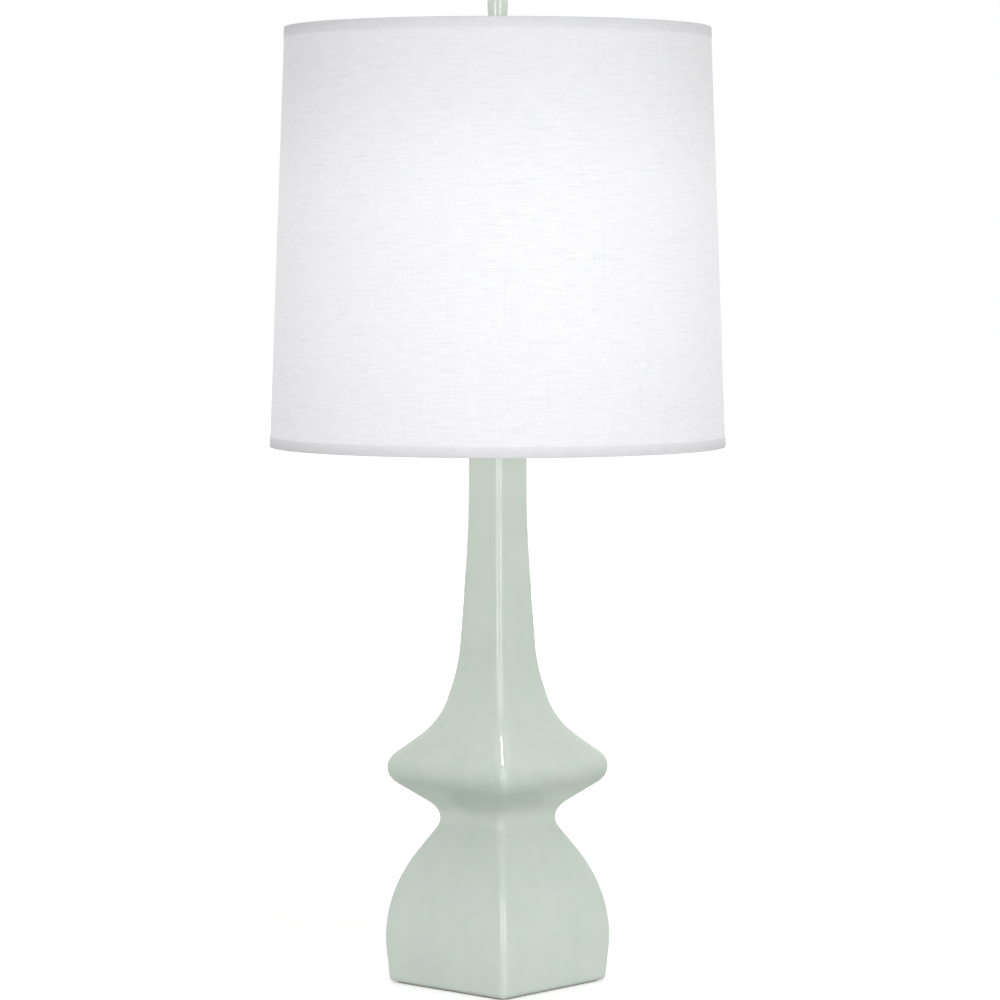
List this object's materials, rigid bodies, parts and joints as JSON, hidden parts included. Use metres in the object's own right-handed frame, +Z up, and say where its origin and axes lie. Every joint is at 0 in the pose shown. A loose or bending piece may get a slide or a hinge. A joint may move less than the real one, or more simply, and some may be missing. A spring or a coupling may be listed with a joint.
{
  "type": "table lamp",
  "caption": "Table lamp with a square, waisted and flanged celadon ceramic body, a white fabric drum shade on a harp, a turn-knob socket and a bulb.",
  "frame": {"origin": "on the table, under the middle of the square foot", "axes": "+Z up along the rod, X and Y square to the body's flat sides, +Y to the back where the lead enters"},
  "size_m": [0.3558, 0.3558, 0.767],
  "materials": {
    "celadon_glaze": "glossy pale celadon glaze",
    "shade_linen": "white linen-look weave",
    "shade_tape": "fine plain-weave edge tape",
    "shade_lining": "translucent white styrene",
    "shade_wire": "white powder coat",
    "brass": "satin lacquered brass",
    "steel": "zinc-plated",
    "phenolic": "black moulded phenolic",
    "card": "fibre card",
    "bulb_frost": "frosted white",
    "bulb_metal": "plain",
    "bushing_plastic": "moulded nylon",
    "felt": "pressed felt"
  },
  "bodies": {
    "base": {"ceramic_body": "celadon_glaze", "felt_pad": "felt", "base_plate": "steel", "base_washer": "steel", "base_nut": "steel", "lamp_rod": "steel", "cord_bushing": "bushing_plastic", "neck_cap": "brass", "lock_nut": "brass", "harp_saddle": "brass", "harp": "brass", "harp_stud": "brass", "socket_cap": "brass", "socket_set_screw": "brass", "socket_shell": "brass", "socket_insulator": "card", "socket_core": "phenolic", "terminal_screws": "brass", "screw_shell": "brass", "centre_contact": "brass"},
    "shade": {"shade_fabric": "shade_linen", "shade_liner": "shade_lining", "shade_top_trim": "shade_tape", "shade_bottom_trim": "shade_tape", "shade_top_ring": "shade_wire", "shade_bottom_ring": "shade_wire", "spider_spokes": "shade_wire", "spider_hub": "shade_wire"},
    "finial": {"finial": "celadon_glaze", "finial_insert": "brass"},
    "bulb": {"bulb_glass": "bulb_frost", "bulb_base": "bulb_metal", "bulb_insulator": "phenolic", "bulb_contact": "bulb_metal"},
    "knob": {"turn_knob": "phenolic", "knob_shaft": "steel"},
    "left_sleeve": {"harp_sleeve_left": "brass"},
    "right_sleeve": {"harp_sleeve_right": "brass"}
  },
  "joints": [
    {"name": "shade_swivel", "type": "hinge", "parent": "base", "child": "shade", "pos_m": [0, 0, 0.7296], "axis": [0, 0, 1], "continuous": true},
    {"name": "finial_turn", "type": "hinge", "parent": "base", "child": "finial", "pos_m": [0, 0, 0.7322], "axis": [0, 0, 1], "continuous": true},
    {"name": "bulb_turn", "type": "hinge", "parent": "base", "child": "bulb", "pos_m": [0, 0, 0.49408], "axis": [0, 0, 1], "continuous": true},
    {"name": "knob_turn", "type": "hinge", "parent": "base", "child": "knob", "pos_m": [0, -0.0199, 0.4828], "axis": [0, -1, 0], "continuous": true},
    {"name": "left_sleeve_lift", "type": "slide", "parent": "base", "child": "left_sleeve", "axis": [0, 0, 1], "range_m": [0, 0.014]},
    {"name": "right_sleeve_lift", "type": "slide", "parent": "base", "child": "right_sleeve", "axis": [0, 0, 1], "range_m": [0, 0.014]}
  ]
}
